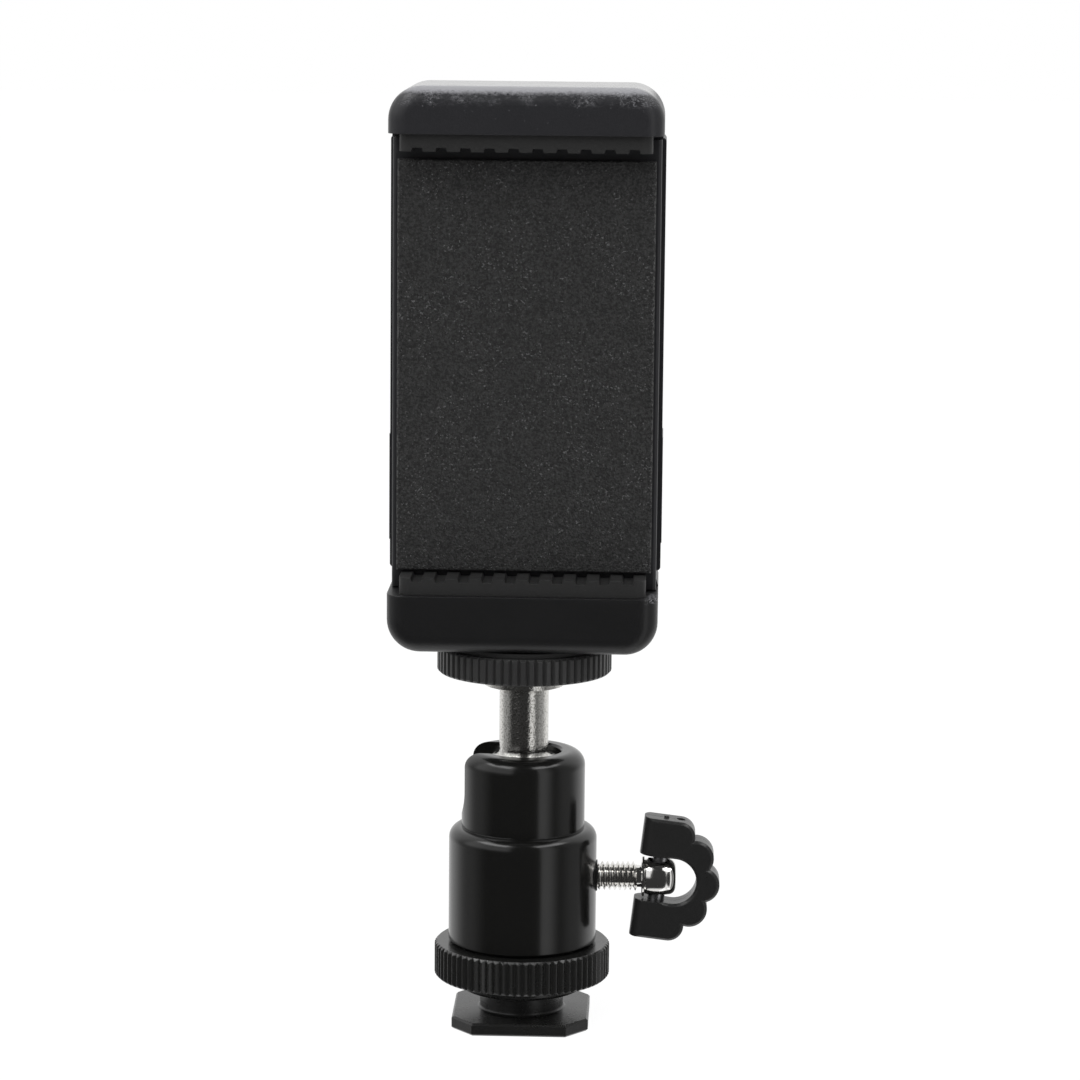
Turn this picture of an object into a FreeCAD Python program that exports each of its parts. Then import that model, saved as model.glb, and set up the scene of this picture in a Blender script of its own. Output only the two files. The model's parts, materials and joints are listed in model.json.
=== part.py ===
# Spring-loaded phone clamp on a small ball head with an accessory shoe foot
# Millimetres, Z up, origin at the centre of the foot's underside
# The clamp's open side looks towards -Y, the lock screw stands out towards +X
import FreeCAD, Part
import math
import os
from FreeCAD import Vector

# Accessory shoe foot, with a quarter-inch tripod thread in its underside
FOOT_WIDTH = 18.6
FOOT_DEPTH = 18.9
FOOT_THICK = 1.7
FOOT_CORNER_X = 2.9
FOOT_CORNER_Y = 3.5
FOOT_EDGE = 0.25
FOOT_NECK_R = 5.7
FOOT_NECK_ROUND = 0.4
FOOT_NECK_INSIDE = 1.3
FOOT_STUD_R = 4.0
TRIPOD_THREAD_R = 3.175
TRIPOD_DEPTH = 5.0
SHOE_RAIL_ROOM = 3.0

# Knurled ring that clamps the camera's shoe rails
RING_R = 12.0
RING_HEIGHT = 4.7
RING_TEETH = 72
RING_TOOTH_DEPTH = 0.45
RING_TOOTH_FLAT = 0.12
RING_EDGE = 0.35
RING_BOSS_R = 8.65
RING_BOSS_HEIGHT = 1.6
RING_BOSS_EDGE = 0.4
RING_LIFT_ROOM = 2.0

# Ball head barrel
BARREL_R = 10.1
BARREL_HEIGHT = 16.0
BARREL_FOOT_EDGE = 0.3
SHOULDER_ROUND = 1.6
SOCKET_R = 8.4
SOCKET_HEIGHT = 10.6
SOCKET_ROUND = 2.0
MOUTH_R = 5.1
MOUTH_EDGE = 0.3
BORE_R = 6.9
BALL_DROP = 5.3
BORE_STEP_DROP = 2.0
SLOT_WIDTH = 7.4
SLOT_BOTTOM_DROP = 0.3
SLOT_TURN = 6.0
SCREW_LIP_WALL = 0.15
SCREW_LIP_PROUD = 0.15
PLUG_HEIGHT = 4.0
PLUG_EDGE = 0.4
STUD_IN_PLUG = 3.8

# Ball with its stem and quarter-inch stud
BALL_R = 6.2
BALL_FLAT = 4.5
STEM_FLARE = 0.9
STEM_R = 3.35
STEM_REACH = 16.3
FLANGE_R = 5.4
FLANGE_HEIGHT = 2.5
FLANGE_CONE = 0.7
STUD_LENGTH = 10.2
STUD_EDGE = 0.6

# Pressure cup under the ball
CUP_TOP_DROP = 3.7
CUP_ABOVE_PLUG = 1.0
CUP_DRAIN_R = 2.4
CUP_SIDE_HOLE_R = 2.6
CUP_SIDE_HOLE_DEPTH = 3.4

# Lock screw, its chrome head and the folding knob
SCREW_R = 2.0
SCREW_ABOVE_BARREL_FOOT = 9.1
SCREW_TIP_X = 4.6
SCREW_TIP_R = 0.7
SCREW_TIP_LENGTH = 1.7
SCREW_NECK_R = 1.55
SCREW_NECK_X = 15.6
HEAD_X = 16.3
HEAD_LENGTH = 4.7
HEAD_R = 2.65
HEAD_RIM_R = 2.75
HEAD_RIM_LENGTH = 0.45
HEAD_END_ROUND = 0.9
PIN_R = 1.15
PIN_HALF_LENGTH = 5.6
PIN_PLAY = 0.36
KNOB_LEAN = 6.7
KNOB_THICK = 4.4
KNOB_HALF_HEIGHT = 8.35
KNOB_EAR_BACK = 3.0
KNOB_EAR_END_ROUND = 1.8
KNOB_EAR_GAP = 3.15
KNOB_OPENING_X = 2.0
KNOB_EDGE = 0.35
KNOB_EAR_X = 2.1
KNOB_EAR_CORNER_R = 2.1
KNOB_SIDE_LOBE_X = 4.6
KNOB_SIDE_LOBE_Z = 3.55
KNOB_SIDE_LOBE_R = 2.5
KNOB_END_LOBE_X = 5.9
KNOB_END_LOBE_R = 2.45
KNOB_PIT_X = 2.0
KNOB_PIT_R = 0.6
KNOB_PIT_DEPTH = 0.4
KNOB_NUB_R = 0.35
KNOB_NUB_HEIGHT = 0.25

# Knurled disc that locks the clamp on the stud, and its rubber face
DISC_R = 11.83
DISC_HEIGHT = 3.6
DISC_TEETH = 65
DISC_TOOTH_DEPTH = 0.4
DISC_TOOTH_FLAT = 0.45
DISC_EDGE = 0.3
GASKET_R = 11.0
GASKET_HEIGHT = 0.65

# Clamp body with its lower jaw
CLAMP_FRONT_Y = -12.5
CLAMP_BACK_Y = 10.5
JAW_WIDTH = 36.0
JAW_CORNER_R = 4.4
JAW_FACE_ROUND = 2.4
LOWER_JAW_HEIGHT = 7.8
NECK_INSET = 0.4
NECK_HEIGHT = 2.1
NECK_BEND = 0.1
HOUSING_OUTSET = 0.25
HOUSING_HEIGHT = 58.0
HOUSING_CORNER_R = 0.5
HOUSING_BACK_ROUND = 2.5
HOUSING_FRONT_Y = -1.5
SIDE_BAND_ABOVE_BOTTOM = 3.8
SIDE_BAND_HEIGHT = 14.3
SIDE_BAND_PROUD = 0.1
SIDE_WALL = 1.6
BACK_WALL = 2.0
FLOOR_ABOVE_JAW = 3.6
RAIL_DEPTH = 1.4
RAIL_THICK = 1.2
BRIDGE_HEIGHT = 4.0
BRIDGE_BELOW_TOP = 9.0
BRIDGE_FRONT_Y = 0.7

# Front cover that carries the foam
COVER_INSET = 0.3
COVER_THICK = 2.0
COVER_FRONT_Y = -5.7
COVER_EDGE = 0.5
COVER_OVER_JAW = 0.15
TONGUE_THICK = 0.6
TONGUE_DEPTH = 0.8
COVER_POST_R = 2.0
COVER_POST_INSET = 3.7
COVER_POST_ABOVE_FLOOR = 3.0
SCREW_SHANK_R = 1.0
SCREW_SHANK_LENGTH = 9.0
SCREW_HEAD_R = 1.9
SCREW_HEAD_HEIGHT = 1.1
SCREW_HEAD_SINK = 0.2
SCREW_SOCKET_R = 0.7
SCREW_SOCKET_DEPTH = 0.5

# Foam and rubber
FOAM_INSET = 0.7
FOAM_THICK = 1.3
FOAM_BELOW_GAP = 0.3
FOAM_ABOVE_GAP = 1.2
PAD_FRONT_SETBACK = 0.8
PAD_TEETH = 11
PAD_TOOTH_HEIGHT = 0.5
PAD_TOOTH_WIDTH = 1.6
PAD_TOOTH_SLOPE = 0.15
PAD_CORNER_R = 1.6
LOWER_PAD_INSET = 1.65
LOWER_PAD_HEIGHT = 2.3
UPPER_PAD_INSET = 1.5
UPPER_PAD_HEIGHT = 2.3

# Upper jaw with its slide plate
UPPER_JAW_HEIGHT = 6.2
COLLAR_HEIGHT = 0.6
COLLAR_INSET = 0.2
COLLAR_MARGIN = 0.3
SLIDE_THICK = 2.4
SLIDE_OVERLAP = 14.0
SLIDE_FOOT_ROUND = 2.0

# Guide rods, their end nuts and the return springs
ROD_R = 1.5
ROD_INSET = 6.5
ROD_Y = 3.6
ROD_IN_JAW = 4.0
ROD_FOOT_ABOVE_FLOOR = 1.6
NUT_SIDES = 6
NUT_R = 3.0
NUT_HEIGHT = 2.5
NUT_ABOVE_ROD_FOOT = 0.4
SPRING_R = 2.55
SPRING_WIRE = 0.6
SPRING_TURNS = 12
SPRING_STEPS_PER_TURN = 10
SPRING_END_GAP = 0.1
SPRING_SHORTEST = 10.0

# Threaded insert in the clamp's underside
INSERT_R = 4.5
INSERT_LENGTH = 7.0
INSERT_GROOVE = 0.5
INSERT_GROOVE_HEIGHT = 1.4

# Clearances
RUNNING = 0.05
BALL_PLAY = 0.15
FACE_GAP = 0.1
SLIDE_PLAY = 0.3

# Heights that follow from the sizes above
FOOT_TOP = FOOT_THICK
RING_BOTTOM = FOOT_TOP + SHOE_RAIL_ROOM
RING_FLANGE = RING_BOTTOM + RING_BOSS_HEIGHT
RING_TOP = RING_FLANGE + RING_HEIGHT
BARREL_FOOT = RING_TOP + 2 * FACE_GAP
SHOULDER = BARREL_FOOT + BARREL_HEIGHT
BARREL_TOP = SHOULDER + SOCKET_HEIGHT
BALL_Z = BARREL_TOP - BALL_DROP
SCREW_Z = BARREL_FOOT + SCREW_ABOVE_BARREL_FOOT
DISC_BOTTOM = BALL_Z + STEM_REACH
DISC_TOP = DISC_BOTTOM + DISC_HEIGHT
CLAMP_BOTTOM = DISC_TOP + GASKET_HEIGHT + FACE_GAP / 2
LOWER_JAW_TOP = CLAMP_BOTTOM + LOWER_JAW_HEIGHT
HOUSING_BOTTOM = LOWER_JAW_TOP + NECK_HEIGHT
HOUSING_TOP = HOUSING_BOTTOM + HOUSING_HEIGHT
FLOOR = LOWER_JAW_TOP + FLOOR_ABOVE_JAW
COLLAR_BOTTOM = HOUSING_TOP + FACE_GAP
UPPER_JAW_BOTTOM = COLLAR_BOTTOM + COLLAR_HEIGHT
UPPER_JAW_TOP = UPPER_JAW_BOTTOM + UPPER_JAW_HEIGHT
BRIDGE_TOP = HOUSING_TOP - BRIDGE_BELOW_TOP
BRIDGE_BOTTOM = BRIDGE_TOP - BRIDGE_HEIGHT
ROD_FOOT = FLOOR + ROD_FOOT_ABOVE_FLOOR
NUT_BOTTOM = ROD_FOOT + NUT_ABOVE_ROD_FOOT
NUT_TOP = NUT_BOTTOM + NUT_HEIGHT
JAW_TRAVEL = BRIDGE_BOTTOM - NUT_TOP - SPRING_SHORTEST
POST_Z = FLOOR + COVER_POST_ABOVE_FLOOR

# Depths and widths that follow
COVER_BACK_Y = COVER_FRONT_Y + COVER_THICK
SLIDE_FRONT_Y = COVER_BACK_Y + SLIDE_PLAY
SLIDE_BACK_Y = SLIDE_FRONT_Y + SLIDE_THICK
RAIL_FRONT_Y = SLIDE_BACK_Y + SLIDE_PLAY
TRAY_BACK_Y = CLAMP_BACK_Y - BACK_WALL
JAW_HALF_WIDTH = JAW_WIDTH / 2
NECK_HALF_WIDTH = JAW_HALF_WIDTH - NECK_INSET
HOUSING_HALF_WIDTH = JAW_HALF_WIDTH + HOUSING_OUTSET
COVER_HALF_WIDTH = JAW_HALF_WIDTH - COVER_INSET
COLLAR_HALF_WIDTH = JAW_HALF_WIDTH - COLLAR_INSET
FOAM_HALF_WIDTH = COVER_HALF_WIDTH - FOAM_INSET
COVER_POST_X = COVER_HALF_WIDTH - COVER_POST_INSET
ROD_X = COVER_POST_X - ROD_INSET
TRAY_HALF_WIDTH = HOUSING_HALF_WIDTH - SIDE_WALL
SLIDE_HALF_WIDTH = TRAY_HALF_WIDTH - SLIDE_PLAY
PAD_FRONT_Y = CLAMP_FRONT_Y + PAD_FRONT_SETBACK
PAD_BACK_Y = COVER_FRONT_Y - FACE_GAP
HEAD_MIDDLE_X = HEAD_X + HEAD_LENGTH / 2
KNOB_CENTRE = Vector(HEAD_MIDDLE_X, 0, SCREW_Z)

# Ends of an outline closer than this are one point, and an edge's box thinner than this is flat
CLOSED = 1e-6
THIN = 0.01

# Left and right
SIDES = (-1, 1)

X_AXIS = Vector(1, 0, 0)
Y_AXIS = Vector(0, 1, 0)
Z_AXIS = Vector(0, 0, 1)


def block(x0, x1, y0, y1, z0, z1):
    return Part.makeBox(x1 - x0, y1 - y0, z1 - z0, Vector(x0, y0, z0))


def upright(radius, z0, z1, x=0, y=0):
    return Part.makeCylinder(radius, z1 - z0, Vector(x, y, z0), Z_AXIS)


def across(radius, x0, x1, y=0, z=0):
    return Part.makeCylinder(radius, x1 - x0, Vector(x0, y, z), X_AXIS)


def through_depth(radius, y0, y1, x=0, z=0):
    return Part.makeCylinder(radius, y1 - y0, Vector(x, y0, z), Y_AXIS)


def on_circle(centre, radius, degrees):
    angle = math.radians(degrees)
    return (centre[0] + radius * math.cos(angle), centre[1] + radius * math.sin(angle))


def arc(centre, radius, start, end):
    middle = (start + end) / 2
    return (on_circle(centre, radius, middle), on_circle(centre, radius, end))


def outline(steps):
    """Closed face in the XZ plane; a step is a point, or an arc's middle and end."""
    edges = []
    first = Vector(steps[0][0], 0, steps[0][1])
    here = first
    for step in steps[1:]:
        if isinstance(step[0], tuple):
            middle = Vector(step[0][0], 0, step[0][1])
            end = Vector(step[1][0], 0, step[1][1])
            edges.append(Part.Arc(here, middle, end).toShape())
        else:
            end = Vector(step[0], 0, step[1])
            edges.append(Part.LineSegment(here, end).toShape())
        here = end
    if not here.isEqual(first, CLOSED):
        edges.append(Part.LineSegment(here, first).toShape())
    return Part.Face(Part.Wire(edges))


def turned(steps):
    return outline(steps).revolve(Vector(0, 0, 0), Z_AXIS, 360)


def pulled(steps, y0, y1):
    shape = outline(steps).extrude(Vector(0, y1 - y0, 0))
    shape.translate(Vector(0, y0, 0))
    return shape


def edges_where(shape, test):
    return [edge for edge in shape.Edges if test(edge.BoundBox)]


def knurled(radius, depth, teeth, flat_share, z0, height, edge):
    """Straight-knurled disc: each tooth has a flat top and a sharp root, rims are chamfered."""
    pitch = 360.0 / teeth
    corners = []
    for tooth in range(teeth):
        middle = tooth * pitch
        for turn, size in ((-flat_share / 2, radius), (flat_share / 2, radius), (0.5, radius - depth)):
            x, y = on_circle((0, 0), size, middle + turn * pitch)
            corners.append(Vector(x, y, z0))
    corners.append(corners[0])
    prism = Part.Face(Part.makePolygon(corners)).extrude(Vector(0, 0, height))
    rim = turned([
        (0, z0), (radius - edge, z0), (radius + edge, z0 + 2 * edge),
        (radius + edge, z0 + height - 2 * edge), (radius - edge, z0 + height), (0, z0 + height)])
    return prism.common(rim)


def shoe_foot():
    half_x = FOOT_WIDTH / 2
    half_y = FOOT_DEPTH / 2
    inner_x = half_x - FOOT_CORNER_X
    inner_y = half_y - FOOT_CORNER_Y
    corners = [(inner_x, -half_y), (half_x, -inner_y), (half_x, inner_y), (inner_x, half_y),
               (-inner_x, half_y), (-half_x, inner_y), (-half_x, -inner_y), (-inner_x, -half_y)]
    points = [Vector(x, y, 0) for x, y in corners + corners[:1]]
    plate = Part.Face(Part.makePolygon(points)).extrude(Vector(0, 0, FOOT_THICK))
    rims = edges_where(plate, lambda box: box.ZLength < THIN)
    plate = plate.makeChamfer(FOOT_EDGE, rims)
    neck_top = RING_BOTTOM + FOOT_NECK_INSIDE
    stud_top = BARREL_FOOT + STUD_IN_PLUG
    flare = FOOT_NECK_R + FOOT_NECK_ROUND
    column = turned([
        (0, 0), (flare, 0), (flare, FOOT_TOP),
        arc((flare, FOOT_TOP + FOOT_NECK_ROUND), FOOT_NECK_ROUND, 270, 180),
        (FOOT_NECK_R, neck_top), (FOOT_STUD_R, neck_top), (FOOT_STUD_R, stud_top), (0, stud_top)])
    thread_r = TRIPOD_THREAD_R + RUNNING
    hole = upright(thread_r, 0, TRIPOD_DEPTH)
    drill_tip = Part.makeCone(thread_r, 0, thread_r / 2, Vector(0, 0, TRIPOD_DEPTH))
    foot = plate.fuse(column).cut(hole.fuse(drill_tip))
    return foot.removeSplitter()


def lock_ring():
    grip = knurled(RING_R, RING_TOOTH_DEPTH, RING_TEETH, RING_TOOTH_FLAT,
                   RING_FLANGE, RING_HEIGHT, RING_EDGE)
    boss = turned([
        (0, RING_BOTTOM), (RING_BOSS_R - RING_BOSS_EDGE, RING_BOTTOM),
        (RING_BOSS_R, RING_BOTTOM + RING_BOSS_EDGE), (RING_BOSS_R, RING_FLANGE), (0, RING_FLANGE)])
    pocket_top = RING_BOTTOM + FOOT_NECK_INSIDE + RING_LIFT_ROOM
    pocket = upright(FOOT_NECK_R + 3 * RUNNING, RING_BOTTOM, pocket_top)
    thread = upright(FOOT_STUD_R + RUNNING, RING_BOTTOM, RING_TOP)
    return grip.fuse(boss).cut(pocket.fuse(thread))


def base_plug():
    top = BARREL_FOOT + PLUG_HEIGHT
    radius = BORE_R - RUNNING
    thread = FOOT_STUD_R + RUNNING
    return turned([
        (thread, BARREL_FOOT), (radius - PLUG_EDGE, BARREL_FOOT), (radius, BARREL_FOOT + PLUG_EDGE),
        (radius, top - PLUG_EDGE), (radius - PLUG_EDGE, top), (thread, top)])


def seat_radius():
    return BALL_R + BALL_PLAY


def slot_tool():
    """Slot through the socket wall that lets the stem lie flat, U-shaped at its foot."""
    half = SLOT_WIDTH / 2
    round_z = BALL_Z - SLOT_BOTTOM_DROP
    reach = BARREL_R + BALL_R
    opening = block(-reach, 0, -half, half, round_z, BARREL_TOP + half)
    foot = across(half, -reach, 0, 0, round_z)
    tool = opening.fuse(foot)
    tool.rotate(Vector(0, 0, 0), Z_AXIS, -SLOT_TURN)
    return tool


def ball_housing():
    seat = seat_radius()
    step_z = BALL_Z - BORE_STEP_DROP
    seat_top_z = BALL_Z + math.sqrt(seat ** 2 - MOUTH_R ** 2)
    low_angle = math.degrees(math.asin(-BORE_STEP_DROP / seat))
    high_angle = math.degrees(math.acos(MOUTH_R / seat))
    barrel = turned([
        (BORE_R, BARREL_FOOT), (BARREL_R - BARREL_FOOT_EDGE, BARREL_FOOT),
        (BARREL_R, BARREL_FOOT + BARREL_FOOT_EDGE), (BARREL_R, SHOULDER - SHOULDER_ROUND),
        arc((BARREL_R - SHOULDER_ROUND, SHOULDER - SHOULDER_ROUND), SHOULDER_ROUND, 0, 90),
        (SOCKET_R, SHOULDER), (SOCKET_R, BARREL_TOP - SOCKET_ROUND),
        arc((SOCKET_R - SOCKET_ROUND, BARREL_TOP - SOCKET_ROUND), SOCKET_ROUND, 0, 90),
        (MOUTH_R + MOUTH_EDGE, BARREL_TOP), (MOUTH_R, BARREL_TOP - MOUTH_EDGE), (MOUTH_R, seat_top_z),
        arc((0, BALL_Z), seat, high_angle, low_angle), (BORE_R, step_z)])
    lip = across(SCREW_R + SCREW_LIP_WALL, (BORE_R + BARREL_R) / 2, BARREL_R + SCREW_LIP_PROUD, 0, SCREW_Z)
    screw_hole = across(SCREW_R + RUNNING, 0, BARREL_R + SCREW_R, 0, SCREW_Z)
    return barrel.fuse(lip).cut(screw_hole).cut(slot_tool())


def ball_cup():
    seat = seat_radius()
    top = BALL_Z - CUP_TOP_DROP
    bottom = BARREL_FOOT + PLUG_HEIGHT + CUP_ABOVE_PLUG
    body = upright(BORE_R - BALL_PLAY, bottom, top)
    ball_room = Part.makeSphere(seat, Vector(0, 0, BALL_Z))
    drain = upright(CUP_DRAIN_R, bottom, top)
    inner = BORE_R - CUP_SIDE_HOLE_DEPTH
    side_hole = across(CUP_SIDE_HOLE_R, inner, BORE_R + CUP_SIDE_HOLE_R, 0, SCREW_Z)
    return body.cut(ball_room).cut(drain).cut(side_hole)


def ball_stem():
    flat_z = BALL_Z + BALL_FLAT
    flat_r = math.sqrt(BALL_R ** 2 - BALL_FLAT ** 2)
    flat_angle = math.degrees(math.asin(BALL_FLAT / BALL_R))
    flange_z = DISC_BOTTOM - FACE_GAP
    stud_top = DISC_BOTTOM + STUD_LENGTH
    return turned([
        (0, BALL_Z - BALL_R), arc((0, BALL_Z), BALL_R, -90, flat_angle),
        (min(flat_r, STEM_R + STEM_FLARE), flat_z),
        arc((STEM_R + STEM_FLARE, flat_z + STEM_FLARE), STEM_FLARE, 270, 180),
        (STEM_R, flange_z - FLANGE_HEIGHT), (FLANGE_R, flange_z - FLANGE_HEIGHT + FLANGE_CONE),
        (FLANGE_R, flange_z),
        (TRIPOD_THREAD_R, flange_z), (TRIPOD_THREAD_R, stud_top - STUD_EDGE),
        (TRIPOD_THREAD_R - STUD_EDGE, stud_top), (0, stud_top)])


def mount_disc():
    disc = knurled(DISC_R, DISC_TOOTH_DEPTH, DISC_TEETH, DISC_TOOTH_FLAT,
                   DISC_BOTTOM, DISC_HEIGHT, DISC_EDGE)
    return disc.cut(upright(TRIPOD_THREAD_R + RUNNING, DISC_BOTTOM, DISC_TOP))


def disc_gasket():
    hole = upright(TRIPOD_THREAD_R + 2 * RUNNING, DISC_TOP, DISC_TOP + GASKET_HEIGHT)
    return upright(GASKET_R, DISC_TOP, DISC_TOP + GASKET_HEIGHT).cut(hole)


def lock_screw():
    """Turned about Z first, then laid along X."""
    head_end = HEAD_X + HEAD_LENGTH
    screw = turned([
        (0, SCREW_TIP_X), (SCREW_TIP_R, SCREW_TIP_X), (SCREW_R, SCREW_TIP_X + SCREW_TIP_LENGTH),
        (SCREW_R, SCREW_NECK_X), (SCREW_NECK_R, SCREW_NECK_X), (SCREW_NECK_R, HEAD_X), (HEAD_RIM_R, HEAD_X),
        (HEAD_RIM_R, HEAD_X + HEAD_RIM_LENGTH), (HEAD_R, HEAD_X + HEAD_RIM_LENGTH),
        (HEAD_R, head_end - HEAD_END_ROUND),
        arc((HEAD_R - HEAD_END_ROUND, head_end - HEAD_END_ROUND), HEAD_END_ROUND, 0, 90), (0, head_end)])
    screw.rotate(Vector(0, 0, 0), Y_AXIS, 90)
    screw.translate(Vector(0, 0, SCREW_Z))
    pin_hole = upright(PIN_R + PIN_PLAY, SCREW_Z - KNOB_EAR_GAP, SCREW_Z + KNOB_EAR_GAP, HEAD_MIDDLE_X)
    return screw.cut(pin_hole)


def lean_knob(shape):
    shape.rotate(KNOB_CENTRE, Y_AXIS, KNOB_LEAN)
    return shape


def knob_pin():
    return lean_knob(upright(PIN_R, SCREW_Z - PIN_HALF_LENGTH, SCREW_Z + PIN_HALF_LENGTH, HEAD_MIDDLE_X))


def lock_knob():
    """Scalloped wing with two ears that fold about the pin."""
    half = KNOB_THICK / 2

    def lobe(x, z, radius):
        disc = through_depth(radius, -half, half, HEAD_MIDDLE_X + x, SCREW_Z + z)
        return disc.makeChamfer(KNOB_EDGE, edges_where(disc, lambda box: box.YLength < THIN))

    def ear(side):
        inner = SCREW_Z + side * KNOB_EAR_GAP
        outer = SCREW_Z + side * KNOB_HALF_HEIGHT
        low, high = sorted((inner, outer))
        lug = block(HEAD_MIDDLE_X - KNOB_EAR_BACK, HEAD_MIDDLE_X + KNOB_EAR_X, -half, half, low, high)
        rims = edges_where(lug, lambda box: box.XLength > half and abs(box.ZMin - outer) < KNOB_EDGE)
        return lug.makeChamfer(KNOB_EDGE, rims)

    corner_z = KNOB_HALF_HEIGHT - KNOB_EAR_CORNER_R
    spine = [(0, KNOB_EAR_GAP), (KNOB_EAR_X, corner_z), (KNOB_SIDE_LOBE_X, KNOB_SIDE_LOBE_Z),
             (KNOB_END_LOBE_X, 0), (KNOB_SIDE_LOBE_X, -KNOB_SIDE_LOBE_Z), (KNOB_EAR_X, -corner_z),
             (0, -KNOB_EAR_GAP)]
    web = pulled([(HEAD_MIDDLE_X + x, SCREW_Z + z) for x, z in spine], -half, half)
    pieces = [ear(1), ear(-1), lobe(KNOB_END_LOBE_X, 0, KNOB_END_LOBE_R)]
    for side in SIDES:
        pieces.append(lobe(KNOB_EAR_X, side * corner_z, KNOB_EAR_CORNER_R))
        pieces.append(lobe(KNOB_SIDE_LOBE_X, side * KNOB_SIDE_LOBE_Z, KNOB_SIDE_LOBE_R))
    wing = web.fuse(pieces)
    back_x = HEAD_MIDDLE_X - KNOB_EAR_BACK
    round_x = HEAD_MIDDLE_X + KNOB_OPENING_X
    opening = block(back_x, round_x, -half, half, SCREW_Z - KNOB_EAR_GAP, SCREW_Z + KNOB_EAR_GAP)
    opening = opening.fuse(through_depth(KNOB_EAR_GAP, -half, half, round_x, SCREW_Z))
    for side in SIDES:
        face = Vector(round_x, side * half, SCREW_Z)
        flare = Part.makeCone(KNOB_EAR_GAP + KNOB_EDGE, KNOB_EAR_GAP, KNOB_EDGE, face, Vector(0, -side, 0))
        opening = opening.fuse(flare)
    wing = wing.cut(opening).removeSplitter()
    rounding = block(back_x, HEAD_MIDDLE_X + 2 * KNOB_HALF_HEIGHT, -half, half,
                     SCREW_Z - KNOB_HALF_HEIGHT, SCREW_Z + KNOB_HALF_HEIGHT)
    ends = edges_where(rounding, lambda box: box.ZLength > KNOB_HALF_HEIGHT and box.XMax < HEAD_MIDDLE_X)
    wing = wing.common(rounding.makeFillet(KNOB_EAR_END_ROUND, ends))
    hole = upright(PIN_R, SCREW_Z - PIN_HALF_LENGTH, SCREW_Z + PIN_HALF_LENGTH, HEAD_MIDDLE_X)
    top = SCREW_Z + KNOB_HALF_HEIGHT
    pit = upright(KNOB_PIT_R, top - KNOB_PIT_DEPTH, top, HEAD_MIDDLE_X + KNOB_PIT_X)
    nub = upright(KNOB_NUB_R, top - KNOB_NUB_HEIGHT, top + KNOB_NUB_HEIGHT, HEAD_MIDDLE_X)
    return lean_knob(wing.cut(hole.fuse(pit)).fuse(nub).removeSplitter())


def jaw_block(z0, z1, rounded_top):
    """Block of full clamp depth with two rounded long edges and rounded front and back faces."""
    half = JAW_HALF_WIDTH
    inner = half - JAW_CORNER_R
    if rounded_top:
        steps = [(-half, z0), (half, z0), (half, z1 - JAW_CORNER_R),
                 arc((inner, z1 - JAW_CORNER_R), JAW_CORNER_R, 0, 90), (-inner, z1),
                 arc((-inner, z1 - JAW_CORNER_R), JAW_CORNER_R, 90, 180)]
    else:
        steps = [(half, z1), (-half, z1), (-half, z0 + JAW_CORNER_R),
                 arc((-inner, z0 + JAW_CORNER_R), JAW_CORNER_R, 180, 270), (inner, z0),
                 arc((inner, z0 + JAW_CORNER_R), JAW_CORNER_R, 270, 360)]
    jaw = pulled(steps, CLAMP_FRONT_Y, CLAMP_BACK_Y)
    flat_z = z0 if rounded_top else z1

    def on_face(box):
        along_flat = box.ZLength < THIN and abs(box.ZMin - flat_z) < THIN
        return box.YLength < THIN and not along_flat

    return jaw.makeFillet(JAW_FACE_ROUND, edges_where(jaw, on_face))


def housing_shell():
    """Tray that closes the clamp's back: flared neck, side walls and back wall."""
    half = HOUSING_HALF_WIDTH
    neck = NECK_HALF_WIDTH
    rim = JAW_HALF_WIDTH
    corner = HOUSING_CORNER_R
    bend_x = neck + NECK_BEND
    bend_z = LOWER_JAW_TOP + NECK_HEIGHT / 2
    steps = [
        (-neck, HOUSING_BOTTOM), (-half + corner, HOUSING_BOTTOM),
        arc((-half + corner, HOUSING_BOTTOM + corner), corner, 270, 180), (-half, HOUSING_TOP - corner),
        arc((-half + corner, HOUSING_TOP - corner), corner, 180, 90), (half - corner, HOUSING_TOP),
        arc((half - corner, HOUSING_TOP - corner), corner, 90, 0), (half, HOUSING_BOTTOM + corner),
        arc((half - corner, HOUSING_BOTTOM + corner), corner, 0, -90), (neck, HOUSING_BOTTOM),
        ((bend_x, bend_z), (rim, LOWER_JAW_TOP)), (-rim, LOWER_JAW_TOP),
        ((-bend_x, bend_z), (-neck, HOUSING_BOTTOM))]
    shell = pulled(steps, HOUSING_FRONT_Y, CLAMP_BACK_Y)
    plan = block(-half, half, HOUSING_FRONT_Y, CLAMP_BACK_Y, LOWER_JAW_TOP, HOUSING_TOP)
    backs = edges_where(plan, lambda box: box.ZLength > half and box.YMin > TRAY_BACK_Y)
    shell = shell.common(plan.makeFillet(HOUSING_BACK_ROUND, backs))
    band_bottom = HOUSING_BOTTOM + SIDE_BAND_ABOVE_BOTTOM
    band_half = half + SIDE_BAND_PROUD
    return shell.fuse(block(-band_half, band_half, HOUSING_FRONT_Y, CLAMP_BACK_Y - HOUSING_BACK_ROUND,
                            band_bottom, band_bottom + SIDE_BAND_HEIGHT))


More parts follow.
